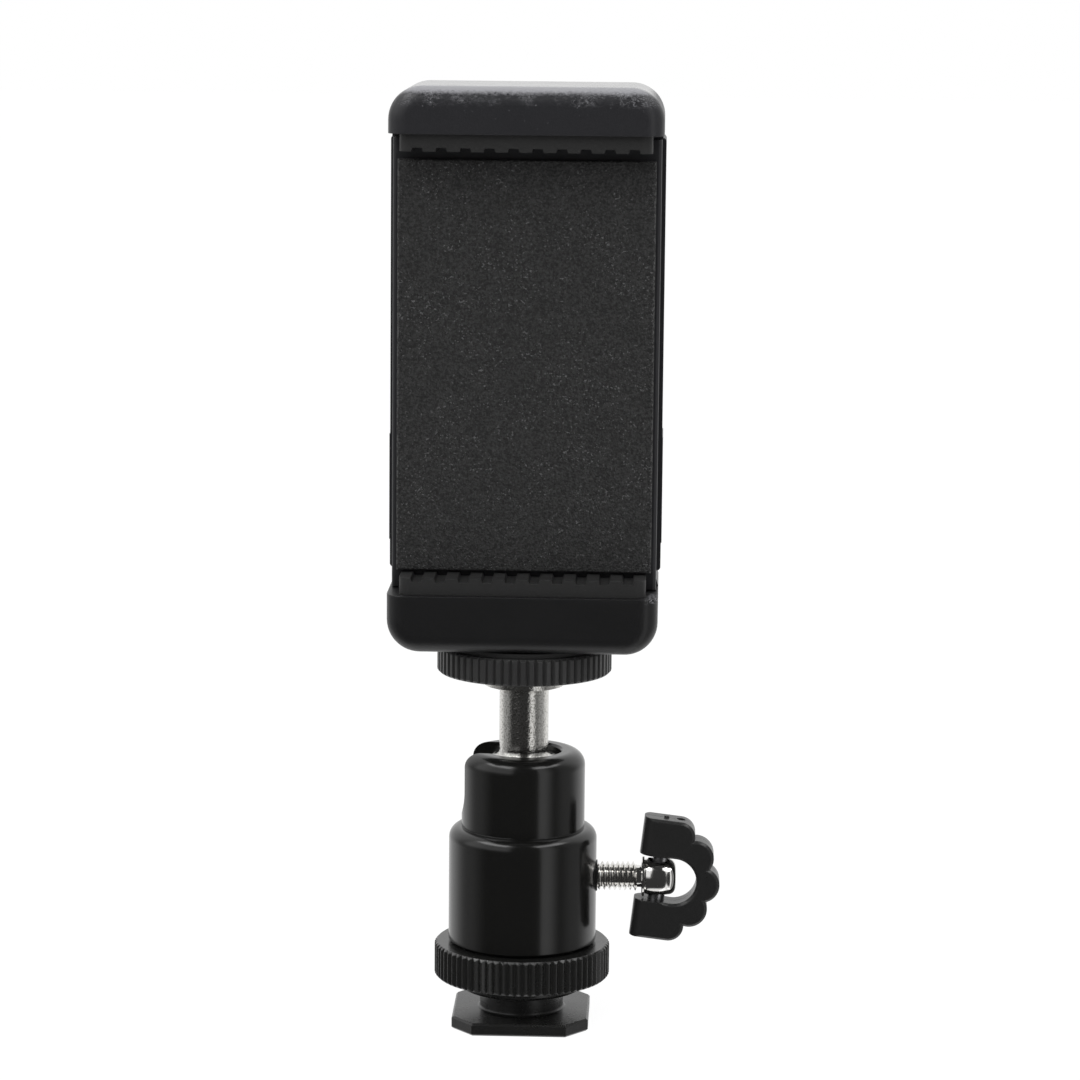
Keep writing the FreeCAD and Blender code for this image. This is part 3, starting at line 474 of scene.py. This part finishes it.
def anodised_metal(colours):
    """Glossy black finish over turned metal, duller below the barrel, with painted glints at the top of the
    lock ring's teeth.
    """
    mix = finish("anodised_metal")
    ring_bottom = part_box("lock_ring")[0].z
    ring_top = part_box("lock_ring")[1].z
    ring_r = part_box("lock_ring")[1].x
    height = mix.along("Z")
    lathe_lines = mix.noise(0.00009, 2, 0.6, (0.02, 0.02, 1))
    cloud = mix.noise(0.004, 3, 0.6)
    neck = mix.step(height, ring_bottom + 0.5 * MM, ring_bottom - 0.1 * MM)
    neck = neck * mix.step(height, FOOT_PLATE, FOOT_PLATE + 0.2 * MM)
    fleck = mix.step(mix.noise(0.00025, 2, 0.8), 0.72, 0.78)
    below = mix.step(height, ring_top + 0.4 * MM, ring_top - 0.2 * MM)
    plain = mix.blend(below, tuple(colours.anodised), (0.013, 0.013, 0.0125))
    colour = mix.blend(fleck * 0.25, plain, (0.03, 0.03, 0.03))
    across, depth = mix.along("X"), mix.along("Y")
    spread = across * across + depth * depth
    radius = spread.maths("SQRT", spread)
    # Painted highlight: light glints at the top of the lock ring's teeth, where the chamfer cuts them.
    painted_tip_glint = mix.step(radius, ring_r - 0.50 * MM, ring_r - 0.42 * MM)
    painted_tip_glint = painted_tip_glint * mix.step(height, ring_top - 0.32 * MM, ring_top - 0.22 * MM)
    painted_tip_glint = painted_tip_glint * mix.step(mix.noise(0.0012, 2, 0.6), 0.42, 0.58)
    colour = mix.blend(painted_tip_glint * 0.8, colour, (0.09, 0.09, 0.09))
    rough = 0.13 + cloud * 0.08 + below * 0.10
    edge = mix.rounded(0.00012)
    skin = mix.bump(lathe_lines * (0.10 + neck * 0.9), 0.00003, edge)
    return mix.surface(Base_Color=colour, Roughness=rough, Normal=skin, IOR=1.5)


def disc_metal(colours):
    """Matter black finish of the disc under the clamp."""
    mix = finish("disc_metal")
    grain = mix.noise(0.00022, 3, 0.7)
    cloud = mix.noise(0.003, 3, 0.6)
    fleck = mix.step(mix.noise(0.0004, 2, 0.8), 0.70, 0.76)
    colour = mix.blend(fleck * 0.4, tuple(colours.disc), (0.10, 0.10, 0.10))
    rough = 0.34 + cloud * 0.12
    skin = mix.bump(grain, 0.00002, mix.rounded(0.00012))
    return mix.surface(Base_Color=colour, Roughness=rough, Normal=skin, IOR=1.5)


def nickel_plate(colours):
    """Mottled plating: pits and grains over a bright metal."""
    mix = finish("nickel_plate")
    grain = mix.noise(0.00028, 2, 0.7)
    cloud = mix.noise(0.0020, 3, 0.6)
    pits = mix.step(grain, 0.50, 0.60)
    shade = mix.blend(pits * 0.55, tuple(colours.nickel), (0.30, 0.29, 0.27))
    rough = 0.08 + cloud * 0.06
    skin = mix.bump(grain + cloud * 0.4, 0.000036)
    return mix.surface(Base_Color=shade, Metallic=1.0, Roughness=rough, Normal=skin)


def chrome_plate(colours):
    """Bright plating with faint turning marks and a few specks."""
    mix = finish("chrome_plate")
    marks = mix.noise(0.00012, 2, 0.6, (1, 0.05, 0.05))
    cloud = mix.noise(0.0012, 3, 0.6)
    speck = mix.step(mix.noise(0.0003, 2, 0.8), 0.70, 0.76)
    shade = mix.blend(speck * 0.6, tuple(colours.chrome), (0.25, 0.24, 0.23))
    rough = 0.07 + cloud * 0.08 + speck * 0.2
    skin = mix.bump(marks * 0.4 + cloud, 0.00001)
    return mix.surface(Base_Color=shade, Metallic=1.0, Roughness=rough, Normal=skin)


def drawn_steel(colours):
    mix = finish("drawn_steel")
    lines = mix.noise(0.00015, 2, 0.6, (1, 1, 0.04))
    cloud = mix.noise(0.002, 3, 0.6)
    shade = mix.blend(cloud, tuple(colours.steel), (0.33, 0.33, 0.34))
    rough = 0.24 + lines * 0.12
    skin = mix.bump(lines, 0.00001)
    return mix.surface(Base_Color=shade, Metallic=1.0, Roughness=rough, Normal=skin)


def turned_brass(colours):
    mix = finish("turned_brass")
    lines = mix.noise(0.00012, 2, 0.6, (0.03, 0.03, 1))
    cloud = mix.noise(0.002, 3, 0.6)
    shade = mix.blend(cloud * 0.6, tuple(colours.brass), (0.40, 0.28, 0.12))
    rough = 0.26 + lines * 0.10
    skin = mix.bump(lines, 0.00001)
    return mix.surface(Base_Color=shade, Metallic=1.0, Roughness=rough, Normal=skin)


def foam_sheet(colours):
    """Fine-celled foam with tiny cut cells that glint."""
    mix = finish("foam_sheet")
    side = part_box("foam_pad")[1].x
    cell = mix.cells(0.00030)
    fine = mix.noise(0.00020, 3, 0.8)
    cloud = mix.noise(0.004, 3, 0.6)
    glint = mix.step(mix.noise(0.00030, 1, 0.5), 0.64, 0.72)
    glint = glint * mix.step(mix.noise(0.0030, 2, 0.5), 0.34, 0.62)
    pore = mix.step(cell, 0.30, 0.75)
    speckle = mix.step(mix.noise(0.00034, 3, 0.75), 0.38, 0.62)
    shade = mix.blend(speckle, (0.015, 0.015, 0.015), tuple(colours.foam))
    shade = mix.blend(pore * 0.30 + cloud * 0.12, shade, (0.012, 0.012, 0.012))
    shade = mix.blend(glint * 0.75, shade, (0.13, 0.13, 0.133))
    cut = mix.step(abs(mix.along("X")), side - 0.28 * MM, side - 0.20 * MM)
    cut = cut * mix.step(mix.noise(0.0004, 2, 0.7), 0.46, 0.58)
    shade = mix.blend(cut * 0.7, shade, (0.10, 0.10, 0.10))
    skin = mix.bump(fine + pore * -0.6 + glint * 0.5, 0.00014)
    return mix.surface(Base_Color=shade, Roughness=0.72 + fine * 0.15, Normal=skin, Specular_IOR_Level=0.4)


def soft_rubber(colours):
    mix = finish("soft_rubber")
    grain = mix.noise(0.00030, 3, 0.6)
    cloud = mix.noise(0.003, 3, 0.6)
    dust = mix.step(mix.noise(0.0005, 2, 0.8), 0.70, 0.78)
    shade = mix.blend(dust * 0.35, tuple(colours.rubber), (0.09, 0.09, 0.09))
    rough = 0.52 + cloud * 0.16
    skin = mix.bump(grain, 0.00004, mix.rounded(0.00015))
    return mix.surface(Base_Color=shade, Roughness=rough, Normal=skin, IOR=1.45)


# Operators

class CLAMP_OT_stage(bpy.types.Operator):
    """Adds the camera, the floor, the lights and the white surroundings"""
    bl_idname = "clamp.stage"
    bl_label = "Studio"

    def execute(self, context):
        studio = context.scene.clamp_studio
        context.scene.view_settings.view_transform = "Standard"
        self.camera(context, studio)
        self.floor(studio)
        self.lights()
        self.surroundings(context)
        return {"FINISHED"}

    def camera(self, context, studio):
        eye = bpy.data.cameras.new("camera")
        eye.lens = studio.lens
        eye.sensor_width = SENSOR
        eye.clip_start = 0.01
        eye.clip_end = 20
        holder = bpy.data.objects.new("camera", eye)
        context.scene.collection.objects.link(holder)
        context.scene.camera = holder
        turn = Matrix.Rotation(studio.azimuth, 4, "Z")
        tilt = Matrix.Rotation(math.pi / 2 - studio.pitch, 4, "X")
        roll = Matrix.Rotation(studio.roll, 4, "Z")
        spot = turn @ Vector((studio.aside, -studio.distance, studio.height))
        holder.matrix_world = Matrix.Translation(spot) @ turn @ tilt @ roll

    def floor(self, studio):
        deselect()
        bpy.ops.mesh.primitive_plane_add(size=6, location=(0, 0, CAD_BOX[0].z - FLOOR_GAP))
        plane = started("floor")
        mix = finish("floor_sweep")
        white = mix.node("ShaderNodeEmission", {}, {"Color": (1, 1, 1, 1), "Strength": FLOOR_WHITE})
        seen = mix.node("ShaderNodeLightPath", {}, {}, "Is Camera Ray") * FLOOR_SEEN
        mirrored = mix.node("ShaderNodeLightPath", {}, {}, "Is Glossy Ray")
        cast = mix.node("ShaderNodeBsdfDiffuse", {}, {"Color": (*studio.floor, 1)})
        clear = mix.node("ShaderNodeBsdfTransparent", {}, {"Color": (1, 1, 1, 1)})
        lit = mix.node("ShaderNodeMixShader", {}, {0: seen, 1: cast, 2: white})
        shown = mix.node("ShaderNodeMixShader", {}, {0: mirrored, 1: lit, 2: clear})
        mix.node("ShaderNodeOutputMaterial", {}, {"Surface": shown})
        dress(plane, mix.owner)

    def lights(self):
        lamps = (
            ("soft_right", (0.62, -0.48, 0.22), (0.42, 0.90), 0.9),
            ("soft_left", (-0.45, -0.45, 0.62), (0.35, 0.35), 1.0),
            ("fill_front", (-0.20, -0.72, 0.72), (0.50, 0.50), 4.2),
            ("fill_top", (0.0, -0.15, 0.95), (0.80, 0.80), 0.9),
        )
        for name, spot, size, level in lamps:
            lamp = bpy.data.lights.new(name, "AREA")
            lamp.shape = "RECTANGLE"
            lamp.size, lamp.size_y = size
            lamp.energy = level * math.pi * size[0] * size[1]
            holder = bpy.data.objects.new(name, lamp)
            holder.visible_glossy = False
            bpy.context.scene.collection.objects.link(holder)
            aim = Vector((0, 0, 0.06)) - Vector(spot)
            holder.rotation_mode = "QUATERNION"
            holder.rotation_quaternion = aim.to_track_quat("-Z", "Y")
            holder.location = spot

    def surroundings(self, context):
        """Even light for the diffuse surfaces; the shiny ones mirror softboxes in a dark room.

        round_by is the direction round the model from the front, in radians, and up runs from -1 to 1.
        """
        world = bpy.data.worlds.new("surroundings")
        context.scene.world = world
        mix = Finish(world)
        way = mix.node("ShaderNodeTexCoord", {}, {}, "Generated")
        right, behind, up = (mix.node("ShaderNodeSeparateXYZ", {}, {"Vector": way}, axis) for axis in "XYZ")
        round_by = right.maths("ARCTAN2", right, 0 - behind)
        wall = mix.step(behind + abs(up) * 0.6, 0.25, 0.80) * 0.86
        table = mix.step(up, -0.86, -0.95) * 0.8
        side = mix.step(abs(round_by), 0.95, 1.5) * 0.30
        strip = mix.step(round_by, 0.50, 0.58) * mix.step(round_by, 1.15, 0.70)
        strip = strip * mix.step(up, 0.80, 0.60) * 0.85
        left = mix.step(round_by, -0.25, -0.40) * mix.step(round_by, -1.90, -1.60)
        left = left * mix.step(up, -0.10, 0.25) * mix.step(up, 0.90, 0.80) * 0.80
        over = mix.step(up, 0.68, 0.74) * mix.step(up, 0.90, 0.84)
        over = over * mix.step(abs(round_by), 0.40, 0.55) * mix.step(abs(round_by), 1.90, 1.60) * 3.4
        mirrored = mix.node("ShaderNodeLightPath", {}, {}, "Is Glossy Ray")
        seen = mix.node("ShaderNodeLightPath", {}, {}, "Is Camera Ray")
        through = mix.node("ShaderNodeLightPath", {}, {}, "Is Transmission Ray")
        boxes = strip + left + over + side + table + 0.035
        room = boxes + wall * (1 - boxes.maths("MINIMUM", boxes, 1.0))
        level = EVEN_LIGHT + mirrored * (room - EVEN_LIGHT)
        shown = seen.maths("MAXIMUM", seen, through)
        strength = level + shown * (1 - level)
        sky = mix.node("ShaderNodeBackground", {}, {"Color": (1, 1, 1, 1), "Strength": strength})
        mix.node("ShaderNodeOutputWorld", {}, {"Surface": sky})


class CLAMP_OT_metal(bpy.types.Operator):
    """Gives the ball head, the rods and the small metal parts their finishes"""
    bl_idname = "clamp.metal"
    bl_label = "Metal Parts"

    def execute(self, context):
        colours = context.scene.clamp_colours
        dress_nodes(ANODISED, anodised_metal(colours))
        dress_nodes(["mount_disc"], disc_metal(colours))
        dress_nodes(["ball_stem"], nickel_plate(colours))
        dress_nodes(STEEL, drawn_steel(colours))
        dress_nodes(["thread_insert"], turned_brass(colours))
        for spring in SPRINGS:
            self.shorten(spring)
        return {"FINISHED"}

    def shorten(self, spring):
        """The return spring is pressed against its upper seat as the jaw opens; here it only gets a mesh of
        its own, and the share of its length that would stay is worked out but not used.
        """
        joints = frame["record"]["behaviour"]["joints"]
        travel = next(joint["range_m"][1] for joint in joints if joint["name"] == "jaw_slide")
        low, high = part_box(spring)
        keep = 1 - travel / (high.z - low.z)
        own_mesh(NODES[spring])


class CLAMP_OT_plastic(bpy.types.Operator):
    """Gives the jaws, the housing, the knob and the rubber pads their finishes"""
    bl_idname = "clamp.plastic"
    bl_label = "Plastic and Rubber"

    def execute(self, context):
        colours = context.scene.clamp_colours
        sizes = context.scene.clamp_sizes
        dress_nodes(MOULDED, moulded_plastic(colours, sizes))
        dress_nodes(["lock_knob"], knob_plastic(colours, sizes))
        dress_nodes([*RUBBER, "disc_gasket"], soft_rubber(colours))
        return {"FINISHED"}


class CLAMP_OT_foam(bpy.types.Operator):
    """Makes the foam sheet that the phone's back rests on"""
    bl_idname = "clamp.foam"
    bl_label = "Foam Sheet"

    def execute(self, context):
        colours = context.scene.clamp_colours
        sizes = context.scene.clamp_sizes
        low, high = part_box("foam_pad")
        deselect()
        bpy.ops.mesh.primitive_cube_add(size=1, location=(low + high) / 2, scale=high - low)
        sheet = started("foam_sheet")
        edit(sheet)
        front = low.y + (high.y - low.y) / 4
        pick(sheet, "edges", lambda e: all(sheet.data.vertices[v].co.y < front for v in e.vertices))
        bpy.ops.mesh.bevel(offset=sizes.foam_round, segments=3, affect="EDGES")
        pick(sheet, "polygons", lambda f: f.normal.y < -0.99)
        bpy.ops.mesh.inset(thickness=sizes.foam_round)
        bpy.ops.mesh.subdivide(number_cuts=30)
        bpy.ops.object.mode_set(mode="OBJECT")
        clouds = bpy.data.textures.new("foam_clouds", "CLOUDS")
        clouds.noise_scale = 0.004
        face = sheet.vertex_groups.new(name="face")
        inner = [v.index for v in sheet.data.vertices if v.co.y < front]
        face.add(inner, 1.0, "REPLACE")
        modify(sheet, "DISPLACE", texture=clouds, texture_coords="GLOBAL", vertex_group="face",
               direction="Y", strength=sizes.foam_wave, mid_level=0.5)
        smooth(sheet, 50)
        finished(sheet, "clamp", "foam_pad", foam_sheet(colours))
        return {"FINISHED"}


class CLAMP_OT_screw(bpy.types.Operator):
    """Makes the lock screw with its cut thread and its drilled head"""
    bl_idname = "clamp.screw"
    bl_label = "Lock Screw"

    def execute(self, context):
        colours = context.scene.clamp_colours
        sizes = context.scene.clamp_sizes
        low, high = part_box("lock_screw")
        centre = (low + high) / 2
        root = THREAD_R - sizes.thread_depth
        steps = [(SCREW_TIP_R, low.x), (root, low.x + SCREW_TIP_LENGTH), (root, SCREW_NECK_X),
                 (SCREW_NECK_R, SCREW_NECK_X + SCREW_STEP), (SCREW_NECK_R, SCREW_HEAD_X - SCREW_STEP)]
        steps += [(radius * MM, SCREW_HEAD_X + ahead * MM) for radius, ahead in HEAD_OUTLINE]
        flat = HEAD_END_R - HEAD_CORNER
        for degrees in range(0, 91, 10):
            angle = math.radians(degrees)
            behind = HEAD_CORNER * (1 - math.sin(angle))
            steps.append((flat + HEAD_CORNER * math.cos(angle), high.x - behind))
        body = lathe("lock_screw_dressed", steps, 64)
        deselect()
        bpy.ops.mesh.primitive_cylinder_add(
            vertices=48, radius=HEAD_HOLE_R, depth=4 * THREAD_R,
            location=(0, 0, (SCREW_HEAD_X + high.x) / 2), rotation=(0, math.pi / 2, 0))
        cutter = started("pin_cutter")
        modify(body, "BOOLEAN", object=cutter, operation="DIFFERENCE", solver="EXACT")
        bpy.data.objects.remove(cutter)
        start = low.x + SCREW_TIP_LENGTH + THREAD_START
        ridge = self.ridge(root, start, SCREW_NECK_X - THREAD_END, sizes.thread_pitch)
        screw = join([body, ridge])
        smooth(screw, 35)
        screw.matrix_world = Matrix.Translation((0, 0, centre.z)) @ Matrix.Rotation(math.pi / 2, 4, "Y")
        only(screw)
        bpy.ops.object.transform_apply(location=True, rotation=True, scale=True)
        finished(screw, "screw", "lock_screw", chrome_plate(colours))
        return {"FINISHED"}

    def ridge(self, root, start, end, pitch):
        """One thread ridge: a trapezium that a screw modifier winds round the axis."""
        deselect()
        inner = root - RIDGE_SINK
        middle = (inner + THREAD_R) / 2
        turns = int((end - start) / pitch)
        start = end - turns * pitch
        bpy.ops.mesh.primitive_plane_add(size=1, location=(middle, 0, start), rotation=(math.pi / 2, 0, 0))
        bpy.context.object.scale = (THREAD_R - inner, pitch * RIDGE_FOOT, 1)
        ridge = started("thread_ridge")
        edit(ridge)
        pick(ridge, "vertices", lambda v: v.co.x > middle)
        bpy.ops.transform.resize(value=(1, 1, RIDGE_CREST), center_override=(THREAD_R, 0, start))
        bpy.ops.object.mode_set(mode="OBJECT")
        modify(ridge, "SCREW", axis="Z", angle=2 * math.pi, screw_offset=pitch, iterations=turns,
               steps=40, render_steps=40)
        edit(ridge)
        bpy.ops.mesh.select_all(action="SELECT")
        bpy.ops.mesh.fill_holes(sides=4)
        bpy.ops.mesh.normals_make_consistent(inside=False)
        bpy.ops.object.mode_set(mode="OBJECT")
        return ridge


class CLAMP_PT_panel(bpy.types.Panel):
    """Lists the steps and the settings"""
    bl_label = "Phone Clamp"
    bl_idname = "CLAMP_PT_panel"
    bl_space_type = "VIEW_3D"
    bl_region_type = "UI"
    bl_category = "Clamp"

    def draw(self, context):
        column = self.layout.column()
        for operator in OPERATORS:
            column.operator(operator.bl_idname)
        for group in (context.scene.clamp_colours, context.scene.clamp_sizes, context.scene.clamp_studio):
            box = self.layout.box()
            for key in group.__annotations__:
                box.prop(group, key)


GROUPS = (("clamp_colours", ClampColours), ("clamp_sizes", ClampSizes), ("clamp_studio", StudioSettings))
OPERATORS = (CLAMP_OT_stage, CLAMP_OT_metal, CLAMP_OT_plastic, CLAMP_OT_foam, CLAMP_OT_screw)


def register():
    for key, group in GROUPS:
        bpy.utils.register_class(group)
        setattr(bpy.types.Scene, key, bpy.props.PointerProperty(type=group))
    for item in (*OPERATORS, CLAMP_PT_panel):
        bpy.utils.register_class(item)


def unregister():
    for item in (CLAMP_PT_panel, *reversed(OPERATORS)):
        bpy.utils.unregister_class(item)
    for key, group in reversed(GROUPS):
        delattr(bpy.types.Scene, key)
        bpy.utils.unregister_class(group)


def main():
    register()
    bpy.ops.clamp.stage()
    bpy.ops.clamp.metal()
    bpy.ops.clamp.plastic()
    bpy.ops.clamp.foam()
    bpy.ops.clamp.screw()
    deselect()


if __name__ == "__main__":
    main()
